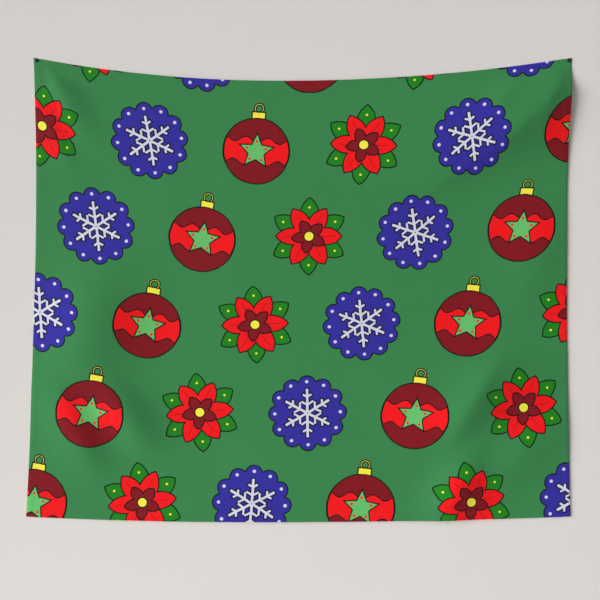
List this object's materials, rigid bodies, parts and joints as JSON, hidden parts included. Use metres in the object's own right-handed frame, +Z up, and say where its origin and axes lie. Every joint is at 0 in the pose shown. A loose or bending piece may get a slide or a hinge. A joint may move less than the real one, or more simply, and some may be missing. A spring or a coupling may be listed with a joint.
{
  "type": "wall tapestry",
  "caption": "Landscape printed cloth wall hanging with turned hems, pinned to the wall by a domed thumb tack through each top corner.",
  "frame": {"origin": "on the wall's face, midway between the axes of the two tack pins", "axes": "+Z up, +X along the wall to the viewer's right, +Y into the wall; the cloth's printed face looks towards -Y"},
  "size_m": [1.532, 0.0318, 1.303],
  "materials": {
    "printed_cloth": "soft woven polyester, green ground with a printed design, matte",
    "tack_steel": "nickel plated",
    "tack_cap": "moulded, black"
  },
  "bodies": {
    "corners": {"left_corner": "printed_cloth", "right_corner": "printed_cloth", "left_corner_hem": "printed_cloth", "right_corner_hem": "printed_cloth"},
    "cloth": {"panel": "printed_cloth", "top_hem": "printed_cloth", "bottom_hem": "printed_cloth", "left_hem": "printed_cloth", "right_hem": "printed_cloth"},
    "left_tack": {"left_tack_pin": "tack_steel", "left_tack_cap": "tack_cap"},
    "right_tack": {"right_tack_pin": "tack_steel", "right_tack_cap": "tack_cap"}
  },
  "joints": [
    {"name": "cloth_lift", "type": "hinge", "parent": "corners", "child": "cloth", "pos_m": [0, -0.00186, -0.0086], "axis": [-1, 0, 0], "range_deg": [0, 75]},
    {"name": "left_tack_pull", "type": "slide", "parent": "corners", "child": "left_tack", "axis": [0, -1, 0], "range_m": [0, 0.018]},
    {"name": "right_tack_pull", "type": "slide", "parent": "corners", "child": "right_tack", "axis": [0, -1, 0], "range_m": [0, 0.018]}
  ]
}
